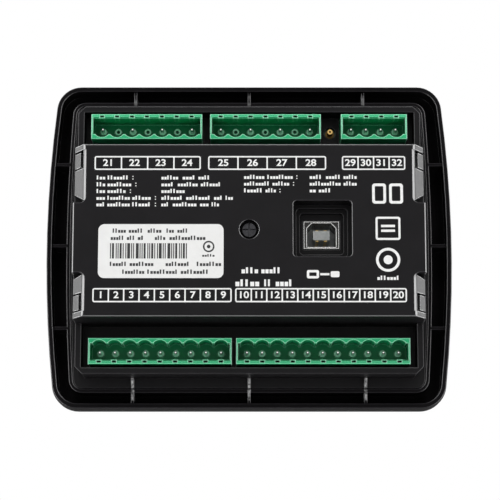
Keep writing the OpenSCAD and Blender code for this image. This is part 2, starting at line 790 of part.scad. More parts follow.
module mode_cap(i) {
    at(mode_keys[i]) pad_key(mode_key, mode_key_r);
}
module transfer_cap(i) {
    at(transfer_keys[i]) pad_key(transfer_key, transfer_key_r);
}
module menu_cap(i) {
    at(menu_keys[i]) round_key(menu_key_d);
}
module key_stop() {
    color("#b3202a") mode_cap(0);
}
module key_manual() {
    color("#55585c") mode_cap(1);
}
module key_auto() {
    color("#55585c") mode_cap(2);
}
module key_start() {
    color("#1f8a43") mode_cap(3);
}
module key_tick() {
    color("#55585c") menu_cap(0);
}
module key_up() {
    color("#55585c") menu_cap(1);
}
module key_down() {
    color("#55585c") menu_cap(2);
}
module key_left() {
    color("#55585c") menu_cap(3);
}
module key_right() {
    color("#55585c") menu_cap(4);
}
module key_mains() {
    color("#55585c") transfer_cap(0);
}
module key_generator() {
    color("#55585c") transfer_cap(1);
}

// Clear window that fills its opening, with a flange behind the front wall
module display_window() {
    color("#9fb4b0") at(window_p) {
        slab(fascia_y, inner_y + root) square(window - 2 * hole_clear * [1, 1], center = true);
        slab(inner_y, inner_y + window_flange_t) square(window + 2 * window_flange_w * [1, 1], center = true);
    }
}

// Clear pipes that carry each lamp's light to the fascia
module light_pipes() {
    pipe_rear = display_front - lamp_h - drop_clear;
    color("#e8e8e0") for (p = lamps) at(p) {
        rod(pipe_r, fascia_y, pipe_rear);
        rod(pipe_r + pipe_collar, inner_y, inner_y + pipe_collar);
    }
}

// Folded sheet frame that holds the glass and its backlight to the display board
module lcd_frame() {
    color(steel) at(window_p) difference() {
        slab(lcd_front, display_front) square(lcd_outer, center = true);
        slab(glass_front, display_front + over) square(lcd_outer - 2 * lcd_sheet * [1, 1], center = true);
        slab(lcd_front - over, lcd_front + over) square(window, center = true);
    }
}

module lcd_glass() {
    color("#7d8a6a") at(window_p) slab(glass_front, glass_rear) square(lcd_inner, center = true);
}

module lcd_backlight() {
    color("#f2f4ea") at(window_p) slab(glass_rear, display_front) square(lcd_inner, center = true);
}

module display_board() {
    size = [ring_in_w, ring_in_h] - 2 * board_clear * [1, 1];
    color("#1d5c34") slab(display_front, display_rear) difference() {
        bowed(size, ring_in_r - board_clear, ring_in_bow - board_clear);
        for (p = fixings) translate(p) circle(screw_r + drop_clear);
        circle(centre_post_r + drop_clear);
    }
}

// Metal snap domes on the display board, one under each key
module key_domes() {
    color(steel) for (p = concat(mode_keys, transfer_keys, menu_keys)) {
        at(p) translate([0, display_front, 0]) rotate([90, 0, 0])
            cylinder(r1 = 2 * key_stem_r, r2 = key_stem_r, h = dome_h);
    }
}

module status_leds() {
    color("#f4f1e2") for (p = lamps) {
        at(p) slab(display_front - lamp_h, display_front) square([lamp_w, lamp_l], center = true);
    }
}

// The two halves of the connector that joins the boards
module board_link_header() {
    color("#2a2a2c") at([0, link_z]) slab(display_rear, link_meet) square([link_l, link_w], center = true);
}
module board_link_socket() {
    color("#3a3a3c") at([0, link_z]) slab(link_meet, main_front) square([link_l, link_w], center = true);
}

module spacers() {
    color("#d8d4c4") for (p = fixings) at(p) slab(display_rear, main_front) difference() {
        circle(post_r);
        circle(screw_r + drop_clear);
    }
}

// A cross-head screw whose head lies on depth y and whose tip is at depth tip
module cross_screw(y, tip) {
    top = y + head_h;
    difference() {
        union() {
            turned() intersection() {
                rounded_over(2 * head_r, y, top, head_edge_r);
                translate([0, y]) square([head_r, head_h]);
            }
            rod(screw_r, tip, y + root);
        }
        slab(top - cross_d, top + over) {
            square([cross_l, cross_w], center = true);
            square([cross_w, cross_l], center = true);
        }
    }
}

module board_screws() {
    color(steel) for (p = fixings) at(p) cross_screw(main_rear, display_front - screw_bite);
}

module case_screw() {
    color("#3b3b3f") cross_screw(recess_y, display_front - screw_bite);
}

module main_board() {
    color("#1d5c34") slab(main_front, main_rear) difference() {
        square([inner_w, inner_h] - 2 * board_clear * [1, 1], center = true);
        for (p = fixings) translate(p) circle(screw_r + drop_clear);
        circle(screw_r + drop_clear);
        for (s = specs, i = [0:s[1]:s[0] - 1]) {
            translate([contact_x(s, i), s[3] * header_z]) square(pin_w + hole_clear, center = true);
        }
    }
}

module processor() {
    top = main_rear + processor_h;
    mark = (processor_w / 2 - 2 * mark_r) * [1, -1];
    color("#242426") at(processor_p) difference() {
        slab(main_rear, top) square(processor_w, center = true);
        at(mark) rod(mark_r, top - mark_d, top + over);
    }
}

// Potted current transformers, each with a stepped top
module current_transformers() {
    size = [transformer_w, transformer_l];
    top = main_rear + transformer_h;
    color("#1f3f86") for (p = transformers) at(p) {
        slab(main_rear, top - transformer_ledge) square(size, center = true);
        slab(main_rear, top) rounded(size - 2 * transformer_ledge * [1, 1], transformer_ledge);
    }
}

// Electrolytic cans, each with a crimped groove
module capacitors() {
    color("#38405e") for (p = cans) at(p) turned() difference() {
        translate([0, main_rear]) square([can_r, can_h]);
        translate([can_r, main_rear + groove_h]) circle(groove_r);
    }
}

module inductor() {
    color("#4a4a4c") at(inductor_p) {
        slab(main_rear, main_rear + inductor_base) square(inductor_w, center = true);
        rod(inductor_w / 2 - inductor_inset, main_rear, main_rear + inductor_h);
    }
}

module output_transistors() {
    color("#262628") for (p = transistors) at(p) {
        slab(main_rear, main_rear + transistor_h) square([transistor_w, transistor_l], center = true);
        slab(main_rear, main_rear + tab_t) square([tab_w, tab_l], center = true);
    }
}

// Coin cell in a round holder
module clock_battery() {
    color("#c2c5c8") at(battery_p) {
        rod(battery_r, main_rear, main_rear + holder_h);
        rod(battery_r - holder_wall, main_rear, main_rear + battery_h);
    }
}

// The case's outline where it goes through the panel
module case_outline() {
    x = case_w / 2;
    z = case_h / 2;
    c = case_chamfer;
    polygon([
        [c - x, -z], [x - c, -z], [x, c - z], [x, z - c],
        [x - c, z], [c - x, z], [-x, z - c], [-x, c - z]
    ]);
}

// The raised panel, rounded over at its rear edges
module raised_panel() {
    intersection() {
        across(case_w) rounded_over(panel_h, floor_front, case_d, panel_edge_r);
        linear_extrude(panel_h, center = true) rounded_over(case_w, floor_front, case_d, panel_edge_r);
    }
}

// Gussets from the case's wall to its flange, in line with the bezel's ribs
module flange_gussets() {
    near = case_h / 2 - root;
    far = flange_h / 2;
    top = flange_reach_z / 2;
    for (x = [-1:1], side = [0, 1]) {
        mirror([0, 0, side]) translate([x * rib_step_x, 0, 0]) across(rib_t)
            polygon([[near, flange_front], [far, flange_front], [far, -ridge_inset], [near, top]]);
    }
}

// Opens a clip ramp with a bevelled edge in the right end of the panel, over lengths z0 to z1
module ramp_cut(z0, z1, proud) {
    x = ramp_x - bevel_w + proud;
    side = case_w / 2 + over;
    translate([0, 0, z0]) linear_extrude(z1 - z0) polygon([
        [x, case_d + over], [x, case_d], [x + bevel_w, case_d - bevel_w],
        [side, ramp_y(side - proud)], [side, case_d + over]
    ]);
}

// A clip pocket at the upper right corner of the panel: end cap, tab in its slits, ramp and gap at the end
module pocket_cut(length, rise) {
    top = panel_h / 2;
    slot_top = top - cap_l;
    ramp_top = slot_top - slot_l;
    bottom = top - length;
    end_top = bottom + pocket_end;
    edge = ramp_x - bevel_w;
    reach = ramp_in + over;
    tab_x = ramp_x + slit_w;
    tab_y = ramp_y(tab_x + tab_bevel);
    intersection() {
        slab(pocket_foot - 2 * over, case_d + over) {
            translate([edge, end_top]) square([reach, length]);
            translate([edge + pocket_end, bottom]) square([reach, length]);
            translate([edge + pocket_end, end_top]) circle(pocket_end);
        }
        union() {
            ramp_cut(slot_top, top + over, cap_d);
            ramp_cut(bottom - over, slot_top, 0);
            slab(pocket_foot, case_d + over) difference() {
                translate([ramp_x, ramp_top]) square([reach, slot_l]);
                translate([tab_x, ramp_top + slit_w]) square([reach, slot_l - 2 * slit_w]);
            }
            translate([0, 0, ramp_top]) linear_extrude(slot_l) polygon([
                [tab_x + tab_bevel, tab_y], [tab_x + tab_bevel, case_d + over],
                [tab_x - slit_w / 2, case_d + over], [tab_x - slit_w / 2, tab_y - tab_bevel - slit_w / 2]
            ]);
            slab(pocket_foot, case_d + over) polygon([
                [edge, bottom - over], [edge + reach, bottom - over],
                [edge + reach, bottom + rise], [edge, bottom + end_drop]
            ]);
        }
    }
}

// The walls left round a clip pocket inside the case
module pocket_housing(length) {
    low = panel_h / 2 - length - pocket_wall;
    translate([case_w / 2 - pocket_in, pocket_foot - pocket_wall, low])
        cube([pocket_in, ramp_run + over, length + over + pocket_wall]);
}

// Repeats a pocket's shape in the four corners
module in_corners() {
    for (p = pockets, side = [0, 1]) {
        mirror([side, 0, 0]) mirror([0, 0, p[2] < 0 ? 1 : 0]) {
            $length = p[0];
            $rise = p[1];
            children();
        }
    }
}

module rear_case() {
    color(black) difference() {
        union() {
            slab(flange_front, tray_rim) case_outline();
            raised_panel();
            slab(flange_front, flange_rear) bowed([flange_w, flange_h], flange_r, flange_bow);
            flange_gussets();
        }
        for (side = [-1, 1]) {
            translate([0, 0, side * (inner_h + panel_h) / 4])
                slab(tray_floor, tray_rim + over) square([inner_w, (inner_h - panel_h) / 2], center = true);
        }
        slab(flange_front - over, floor_front) square([inner_w, inner_h], center = true);
        difference() {
            slab(floor_front - over, panel_inside) square([inner_w, hollow_h], center = true);
            in_corners() pocket_housing($length);
            at(port_p) slab(port_y - well_wall, case_d) square(well + 2 * well_wall * [1, 1], center = true);
            rod(centre_post_r, main_rear, case_d);
        }
        in_corners() pocket_cut($length, $rise);
        at(port_p) port_well();
        rod(recess_r, recess_y, case_d + over);
        rod(screw_r + drop_clear, main_rear - over, case_d);
        for (s = specs) {
            translate([s[2], 0, s[3] * header_z]) slab(floor_front - over, tray_floor + over)
                square([header_len(s[0]), header_w] + 2 * drop_clear * [1, 1], center = true);
        }
        at(brass_p) rod(brass_hole_r, floor_front - over, tray_floor + over);
    }
}

// The stepped well round the data port, and the hole in its floor that the port's shell fills
module port_well() {
    rest = (well_d - well_first) / (well_steps - 1);
    for (i = [0:well_steps - 1]) {
        size = well - 2 * i * well_step * [1, 1];
        slab(case_d - well_first - i * rest, case_d + over) rounded(size, well_r);
    }
    slab(port_y - well_wall - over, port_y + over) square(shell + 2 * drop_clear * [1, 1], center = true);
}

module data_label() {
    color("#f4f4f2") at(label_p) slab(case_d, case_d + label_t) rounded([label_w, label_h], label_r);
}

// Turned brass pin with a dimple in its end
module brass_pin() {
    tip = tray_floor + brass_rise;
    color("#c9a34a") at(brass_p) difference() {
        union() {
            rod(brass_foot_r, main_rear, main_rear + brass_foot_t);
            rod(brass_r, main_rear, tip);
        }
        rod(dimple_r, tip - dimple_d, tip + over);
    }
}

// Place across the panel of contact i of a header
function contact_x(s, i) = s[2] + (i - (s[0] - 1) / 2) * pitch;

// A terminal header: outer wall with coding notches, scalloped inner wall, collars round the contacts
module header(s) {
    n = s[0];
    len = header_len(n);
    places = [for (i = [0:n - 1]) (i - (n - 1) / 2) * pitch];
    filled = [for (i = [0:s[1]:n - 1]) places[i]];
    empty = s[1] > 1 ? [for (i = [1:s[1]:n - 1]) places[i]] : [];
    outer = header_w / 2 - outer_wall;
    inner = scallop_wall - header_w / 2;
    mouth = [len - 2 * header_wall, outer - inner];
    scallop_z = header_wall - header_w / 2 + scallop_r;
    notch_z = outer + notch_in + notch_t / 2;
    color(green) translate([s[2], 0, s[3] * header_z]) mirror([0, 0, s[3] < 0 ? 1 : 0]) difference() {
        union() {
            difference() {
                slab(main_rear, header_rim) square([len, header_w], center = true);
                slab(header_floor, header_rim + over) {
                    translate([0, (inner + outer) / 2]) square(mouth, center = true);
                    for (x = places) translate([x, scallop_z]) circle(scallop_r);
                }
                difference() {
                    across(mouth.x) polygon([
                        [outer - over, header_rim - rim_bevel], [outer, header_rim - rim_bevel],
                        [outer + rim_bevel + over, header_rim + over], [outer - over, header_rim + over]
                    ]);
                    for (x = places) at([x, outer]) slab(header_floor, header_rim + 2 * over)
                        square([boss_w, 2 * outer_wall], center = true);
                }
            }
            for (x = places) at([x, 0]) rod(collar_r, header_floor - root, header_floor + collar_h);
        }
        for (x = places) at([x, notch_z]) slab(header_rim - notch_d, header_rim + over)
            square([notch_w, notch_t], center = true);
        for (x = filled) at([x, 0]) slab(main_rear - over, header_rim) square(pin_w, center = true);
        for (x = empty) at([x, 0]) rod(empty_r, header_floor - 2 * root, header_rim);
    }
}

// The square contact pins of a header, tapered at their tips
module contact_pins(s) {
    w = pin_w / 2;
    tail = main_front - pin_tail;
    color(steel) for (i = [0:s[1]:s[0] - 1]) {
        translate([contact_x(s, i), 0, s[3] * header_z]) intersection() {
            linear_extrude(pin_w, center = true) pin_section(w, tail);
            across(pin_w) pin_section(w, tail);
        }
    }
}

// A pin's outline: straight sides and a tapered tip
module pin_section(w, tail) {
    shoulder = pin_tip - pin_taper;
    polygon([[-w, tail], [w, tail], [w, shoulder], [w / 2, pin_tip], [-w / 2, pin_tip], [-w, shoulder]]);
}

module header_1_9() {
    header(spec_1_9);
}
module header_10_20() {
    header(spec_10_20);
}
module header_21_24() {
    header(spec_21_24);
}
module header_25_28() {
    header(spec_25_28);
}
module header_29_32() {
    header(spec_29_32);
}
module pins_1_9() {
    contact_pins(spec_1_9);
}
module pins_10_20() {
    contact_pins(spec_10_20);
}
module pins_21_24() {
    contact_pins(spec_21_24);
}
module pins_25_28() {
    contact_pins(spec_25_28);
}
module pins_29_32() {
    contact_pins(spec_29_32);
}

// The port's mouth, with its upper corners cut off
module port_mouth() {
    x = shell_w / 2 - shell_t;
    z = shell_h / 2 - shell_lip;
    c = shell_chamfer;
    polygon([[-x, -z], [x, -z], [x, z - c], [x - c, z], [c - x, z], [-x, z - c]]);
}

module usb_shell() {
    color(steel) at(port_p) difference() {
        slab(main_rear, port_y) square(shell, center = true);
        slab(tongue_front, port_y + over) port_mouth();
    }
}

// Insulator that fills the bottom of the shell and carries the tongue
module usb_tongue() {
    color("#dfe3df") at(port_p) {
        slab(tongue_front, tongue_root) port_mouth();
        slab(tongue_front, tongue_tip) square([tongue_w, tongue_h], center = true);
    }
}

// Two contacts on each face of the tongue
module usb_contacts() {
    color("#c9a34a") at(port_p) for (x = [-1, 1], side = [-1, 1]) {
        translate([x * tongue_w / 4, 0, side * (tongue_h + contact_t) / 2])
            slab(tongue_root, tongue_tip - tongue_drop) square([contact_w, contact_t], center = true);
    }
}

front_bezel();
display_window();
light_pipes();
key_stop();
key_manual();
key_auto();
key_start();
key_up();
key_down();
key_left();
key_right();
key_tick();
key_mains();
key_generator();
lcd_frame();
lcd_glass();
lcd_backlight();
display_board();
key_domes();
status_leds();
board_link_header();
board_link_socket();
spacers();
board_screws();
main_board();
processor();
current_transformers();
capacitors();
inductor();
output_transistors();
clock_battery();
rear_case();
case_screw();
data_label();
brass_pin();
header_1_9();
header_10_20();
header_21_24();
header_25_28();
header_29_32();
pins_1_9();
pins_10_20();
pins_21_24();
pins_25_28();
pins_29_32();
usb_shell();
usb_tongue();
usb_contacts();
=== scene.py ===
import json
import math
from collections import namedtuple

import bmesh
import bpy
from mathutils import Matrix, Vector


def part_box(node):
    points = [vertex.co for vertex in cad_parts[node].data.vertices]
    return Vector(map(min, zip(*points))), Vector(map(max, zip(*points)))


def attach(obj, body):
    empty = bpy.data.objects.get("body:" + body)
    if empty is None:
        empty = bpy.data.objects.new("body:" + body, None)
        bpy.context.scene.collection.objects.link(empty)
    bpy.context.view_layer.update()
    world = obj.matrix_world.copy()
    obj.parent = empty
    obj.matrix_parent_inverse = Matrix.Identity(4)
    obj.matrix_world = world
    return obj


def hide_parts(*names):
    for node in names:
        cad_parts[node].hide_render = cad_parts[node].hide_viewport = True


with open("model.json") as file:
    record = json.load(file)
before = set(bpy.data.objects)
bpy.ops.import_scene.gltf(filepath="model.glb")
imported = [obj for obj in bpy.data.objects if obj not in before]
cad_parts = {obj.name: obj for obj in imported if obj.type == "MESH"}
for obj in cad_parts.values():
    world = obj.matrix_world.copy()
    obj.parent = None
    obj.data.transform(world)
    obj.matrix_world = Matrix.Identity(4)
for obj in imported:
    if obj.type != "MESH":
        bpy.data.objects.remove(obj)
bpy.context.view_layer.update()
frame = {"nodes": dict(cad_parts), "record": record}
nodes = frame["nodes"]

# Sizes are in millimetres, apart from those of lamps, floor and camera.
# On the rear, "right" is to the right as the rear is seen, which is -X.
MM = 0.001
PANEL_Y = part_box("rear_case")[1].y / MM
KEY_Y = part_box("key_stop")[0].y / MM
FASCIA_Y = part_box("display_window")[0].y / MM
HEADER_RIM_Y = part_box("header_1_9")[1].y / MM
BRASS_TIP_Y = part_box("brass_pin")[1].y / MM
COLLAR_Y = 6.2
HEADER_FLOOR_Y = 5.5
RIB_STEP = 39.6


# Shader nodes

MASK_SAMPLES = 8
EDGE_SAMPLES = 6
NOISE_DETAIL = 3.0
NOISE_ROUGHNESS = 0.6
# The range within which most of the noise lies
NOISE_LOW, NOISE_HIGH = 0.3, 0.7
# Share of a stripe's half width that is fully coloured
STRIPE_CORE = 0.8


def node(tree, kind, **inputs):
    """A new shader node with some of its inputs set."""
    made = tree.nodes.new(kind)
    for name, value in inputs.items():
        made.inputs[name.replace("_", " ")].default_value = value
    return made


def calculate(tree, operation, first, second=None):
    """The result of a Math node; each input is a number or another node's output."""
    made = tree.nodes.new("ShaderNodeMath")
    made.operation = operation
    for socket, value in zip(made.inputs, (first, second)):
        if isinstance(value, bpy.types.NodeSocket):
            tree.links.new(value, socket)
        elif value is not None:
            socket.default_value = value
    return made.outputs[0]


def product(tree, *values):
    """Values multiplied."""
    result = values[0]
    for value in values[1:]:
        result = calculate(tree, "MULTIPLY", result, value)
    return result


def span(tree, value, low, high, start=NOISE_LOW, end=NOISE_HIGH):
    """A value's range from start to end mapped onto low to high."""
    made = node(tree, "ShaderNodeMapRange", From_Min=start, From_Max=end, To_Min=low, To_Max=high)
    tree.links.new(value, made.inputs["Value"])
    return made.outputs["Result"]


def mask(tree, value, zero, one):
    """A mask that is 0 up to one value and 1 from the other on, whichever of them is greater."""
    return span(tree, value, 0.0, 1.0, zero, one)


def between(tree, value, low, high, soft):
    """A mask: 1 where a value lies between two others, falling to 0 over a soft stretch outside."""
    return product(tree, mask(tree, value, low - soft, low), mask(tree, value, high + soft, high))


def stripes(tree, place, step, half):
    """A mask: 1 within half millimetres of every multiple of step along one coordinate."""
    from_stripe = calculate(tree, "PINGPONG", place, step / 2 * MM)
    return mask(tree, from_stripe, half * MM, half * STRIPE_CORE * MM)


def axes_of(tree, vector):
    """A vector's X, Y and Z outputs."""
    made = tree.nodes.new("ShaderNodeSeparateXYZ")
    tree.links.new(vector, made.inputs["Vector"])
    return made.outputs


def true_normal(tree):
    """The normal of the face itself."""
    return tree.nodes.new("ShaderNodeNewGeometry").outputs["True Normal"]


def rounded_normal(tree, radius, samples):
    """The normal as if edges were rounded."""
    made = node(tree, "ShaderNodeBevel", Radius=radius * MM)
    made.samples = samples
    return made.outputs["Normal"]


def openness(tree, distance):
    """How open a place is: 1 on an outer face, lower in a hollow of about distance millimetres."""
    made = node(tree, "ShaderNodeAmbientOcclusion", Distance=distance * MM)
    made.samples = MASK_SAMPLES
    return made.outputs["AO"]


def noise(tree, coords, size):
    """Noise whose features are about size millimetres across."""
    made = node(tree, "ShaderNodeTexNoise", Scale=1 / (size * MM), Detail=NOISE_DETAIL,
                Roughness=NOISE_ROUGHNESS)
    tree.links.new(coords, made.inputs["Vector"])
    return made.outputs["Fac"]


def blend(tree, factor, first, second):
    """A mix of two colours, each a colour or another mix's output."""
    made = tree.nodes.new("ShaderNodeMix")
    made.data_type = "RGBA"
    tree.links.new(factor, made.inputs["Factor"])
    for socket, colour in (("A", first), ("B", second)):
        target = next(i for i in made.inputs if i.name == socket and i.type == "RGBA")
        if isinstance(colour, bpy.types.NodeSocket):
            tree.links.new(colour, target)
        else:
            target.default_value = (*colour, 1.0)
    return next(o for o in made.outputs if o.type == "RGBA")


# Materials

# Painted shade in hollows: their depth, and the share of the colour that is left in them
HollowShade = namedtuple("HollowShade", "depth left")
# A painted highlight towards the rear: depths along Y where it starts and where it is full
RearHighlight = namedtuple("RearHighlight", "start full colour")
# Painted highlights and painted shade on faces between two depths along Y whose normal has a Y,
# their lean, between two values, and an X, their turn to either side, of at least some value
PaintedBand = namedtuple("PaintedBand", "low high least_lean most_lean least_turn colour")
# Painted glints in stripes along the ribs: their spacing along X, half width, and the heights,
# above and below the middle, between which they lie
RibGlints = namedtuple("RibGlints", "step half near far colour")
# Painted highlights along sharp edges: their width, how far from corners they stop, the colour of
# most, of those that face sideways, or up if up is 1, and of those that face sideways from outer_y
# on
EdgeHighlights = namedtuple("EdgeHighlights", "width reach dim lit up outer_y outer")

# Where masks are 0 and where they are 1: the cosine between true and rounded normal, the
# openness beside a painted edge highlight, an edge's turn to the side, and the openness of
# hollows with painted shade
BENT = (0.99, 0.91)
CLEAR = (0.70, 0.88)
TURNED = (0.2, 0.5)
OPEN = (0.15, 0.85)
BAND_SOFT = 0.02
OUTER_SOFT = 0.4
# Painted rib glints: how softly they end, how strong the upper ones are, the depths along Y over
# which they start, and the size, range of noise and least strength of their patches
RIB_GLINT_SOFT = 0.2
UPPER_RIB_GLINTS = 0.35
RIB_GLINT_Y = (-9, -8)
PATCH_SIZE = 1.4
PATCHES = (0.4, 0.62)
PATCH_LEAST = 0.15


def shade(colour, factor):
    """A colour made darker or lighter."""
    return tuple(min(1.0, c * factor) for c in colour)


def with_painted_band(tree, base, depth, painted_band):
    """A colour with a band of painted highlight or painted shade laid over it."""
    lean = axes_of(tree, true_normal(tree))
    deep = between(tree, depth, painted_band.low * MM, painted_band.high * MM, BAND_SOFT * MM)
    leaning = between(tree, lean["Y"], painted_band.least_lean, painted_band.most_lean, BAND_SOFT)
    turn = calculate(tree, "ABSOLUTE", lean["X"])
    turned = mask(tree, turn, painted_band.least_turn - BAND_SOFT, painted_band.least_turn)
    return blend(tree, product(tree, deep, leaning, turned), base, painted_band.colour)


def with_rib_glints(tree, base, coords, axes, scuffs):
    """A colour with stripes of painted glints laid over it."""
    height = calculate(tree, "ABSOLUTE", axes["Z"])
    inner = mask(tree, height, scuffs.near * MM, (scuffs.near + RIB_GLINT_SOFT) * MM)
    outer = mask(tree, height, scuffs.far * MM, (scuffs.far - RIB_GLINT_SOFT) * MM)
    upper = span(tree, axes["Z"], 1.0, UPPER_RIB_GLINTS, -MM, MM)
    rear = mask(tree, axes["Y"], RIB_GLINT_Y[0] * MM, RIB_GLINT_Y[1] * MM)
    patches = span(tree, noise(tree, coords, PATCH_SIZE), PATCH_LEAST, 1.0, *PATCHES)
    across = stripes(tree, axes["X"], scuffs.step, scuffs.half)
    glinting = product(tree, across, inner, outer, upper, rear, patches)
    return blend(tree, glinting, base, scuffs.colour)


def with_edge_highlights(tree, base, depth, lines):
    """A colour with painted highlights along the sharp edges laid over it."""
    rounded = rounded_normal(tree, lines.width, MASK_SAMPLES)
    cosine = node(tree, "ShaderNodeVectorMath")
    cosine.operation = "DOT_PRODUCT"
    tree.links.new(rounded, cosine.inputs[0])
    tree.links.new(true_normal(tree), cosine.inputs[1])
    edges = product(tree, mask(tree, cosine.outputs["Value"], *BENT),
                    mask(tree, openness(tree, lines.reach), *CLEAR))
    facing = axes_of(tree, rounded)
    sideways = calculate(tree, "ABSOLUTE", facing["X"])
    upwards = calculate(tree, "MULTIPLY", facing["Z"], lines.up)
    either = calculate(tree, "MAXIMUM", sideways, upwards)
    inner = blend(tree, mask(tree, either, *TURNED), lines.dim, lines.lit)
    outer = blend(tree, mask(tree, sideways, *TURNED), lines.dim, lines.outer)
    outermost = mask(tree, depth, (lines.outer_y - OUTER_SOFT) * MM, lines.outer_y * MM)
    return blend(tree, edges, base, blend(tree, outermost, inner, outer))


def surface(name, colour, roughness, grain=0.4, clouds=9.0, stretch=(1, 1, 1), mottle=0.18,
            gloss_span=0.1, relief=0.004, edge=0.0, hollow=None, rim=None, bands=(), scuffs=None,
            lines=None, **sockets):
    """A material whose colour, gloss and fine relief vary over the surface.

    grain and clouds are the sizes of fine and broad features, relief is the depth of the fine
    ones, and edge is the radius of edges. mottle and gloss_span are how much colour and roughness
    vary. sockets are other inputs of the shader.
    """
    made = bpy.data.materials.new(name)
    made.use_nodes = True
    tree = made.node_tree
    shader = tree.nodes["Principled BSDF"]
    for socket, value in sockets.items():
        shader.inputs[socket.replace("_", " ")].default_value = value
    coords = tree.nodes.new("ShaderNodeTexCoord").outputs["Object"]
    axes = axes_of(tree, coords)
    mapping = node(tree, "ShaderNodeMapping", Scale=stretch)
    tree.links.new(coords, mapping.inputs["Vector"])
    fine = noise(tree, mapping.outputs["Vector"], grain)
    broad = noise(tree, mapping.outputs["Vector"], clouds)
    tone = span(tree, broad, 0.0, 1.0)
    base = blend(tree, tone, shade(colour, 1 - mottle), shade(colour, 1 + mottle))
    # Painted shade: a darker colour in hollows
    if hollow:
        opened = mask(tree, openness(tree, hollow.depth), *OPEN)
        base = blend(tree, opened, shade(colour, hollow.left), base)
    # Painted highlight: a paler colour towards the rear
    if rim:
        base = blend(tree, mask(tree, axes["Y"], rim.start * MM, rim.full * MM), base, rim.colour)
    # Painted highlights and painted shade on bands of faces
    for painted_band in bands:
        base = with_painted_band(tree, base, axes["Y"], painted_band)
    # Painted glints in stripes along the ribs
    if scuffs:
        base = with_rib_glints(tree, base, coords, axes, scuffs)
    # Painted highlights along sharp edges
    if lines:
        base = with_edge_highlights(tree, base, axes["Y"], lines)
    tree.links.new(base, shader.inputs["Base Color"])
    gloss = span(tree, fine, roughness - gloss_span, roughness + gloss_span)
    tree.links.new(gloss, shader.inputs["Roughness"])
    bump = node(tree, "ShaderNodeBump", Strength=1.0, Distance=relief * MM)
    tree.links.new(fine, bump.inputs["Height"])
    if edge:
        tree.links.new(rounded_normal(tree, edge, EDGE_SAMPLES), bump.inputs["Normal"])
    tree.links.new(bump.outputs["Normal"], shader.inputs["Normal"])
    return made


GREEN = (0.004, 0.410, 0.150)
# Painted shade on the headers' floor
FLOOR_GREEN_SHADE = (0.002, 0.17, 0.062)
# Painted highlight on the headers' rims
MINT_RIM_HIGHLIGHT = (0.035, 0.54, 0.225)
# Painted highlights along the headers' edges
MINT_DIM_HIGHLIGHT = (0.32, 0.97, 0.60)
MINT_LIT_HIGHLIGHT = (0.58, 1.0, 0.79)
# Painted highlight on the collars' tops
MINT_COLLAR_HIGHLIGHT = (0.50, 1.0, 0.75)
# Painted highlight on the brass pin's tip
BRASS_TIP_HIGHLIGHT = (0.70, 0.46, 0.16)
# Painted glints on the ribs
RIB_GLINT_GREY = (0.50, 0.50, 0.50)
# Painted highlights along the case's edges
CASE_DIM_HIGHLIGHT = (0.045, 0.043, 0.047)
CASE_LIT_HIGHLIGHT = (0.17, 0.168, 0.172)
CASE_OUTER_HIGHLIGHT = (0.50, 0.50, 0.505)
# Painted highlights on the panel's rounded edge and the clip pockets' bevels
PANEL_ROUND_HIGHLIGHT = (0.14, 0.142, 0.142)
POCKET_BEVEL_HIGHLIGHT = (0.42, 0.42, 0.42)
# Painted highlights along the bezel's edges
BEZEL_DIM_HIGHLIGHT = (0.035, 0.033, 0.037)
BEZEL_LIT_HIGHLIGHT = (0.32, 0.317, 0.323)
# Painted highlights along the port's edges
PORT_DIM_HIGHLIGHT = (0.85, 0.85, 0.83)
PORT_LIT_HIGHLIGHT = (0.97, 0.97, 0.95)
# Painted rib glints: half width of a stripe and how far out they reach
RIB_GLINT_HALF = 0.6
RIB_GLINT_FAR = 53.4


def square_faces(depth, colour):
    """A painted band over the faces at one depth that lie square to Y."""
    return PaintedBand(low=depth - 0.1, high=depth + 0.1, least_lean=0.9, most_lean=1.1, least_turn=0.0,
                colour=colour)


# Painted highlights on the panel's rounded edge and the clip pockets' bevels
PANEL_EDGE_HIGHLIGHT = PaintedBand(low=PANEL_Y - 0.85, high=PANEL_Y + 0.1, least_lean=0.18, most_lean=0.76,
                   least_turn=0.0, colour=PANEL_ROUND_HIGHLIGHT)
POCKET_EDGE_HIGHLIGHT = PaintedBand(low=PANEL_Y - 0.65, high=PANEL_Y + 0.1, least_lean=0.60, most_lean=0.80,
                    least_turn=0.6, colour=POCKET_BEVEL_HIGHLIGHT)
KEY_LOOK = dict(grain=0.25, mottle=0.1, relief=0.006, edge=0.15)
INK_LOOK = dict(roughness=0.5, grain=0.18, clouds=1.5)

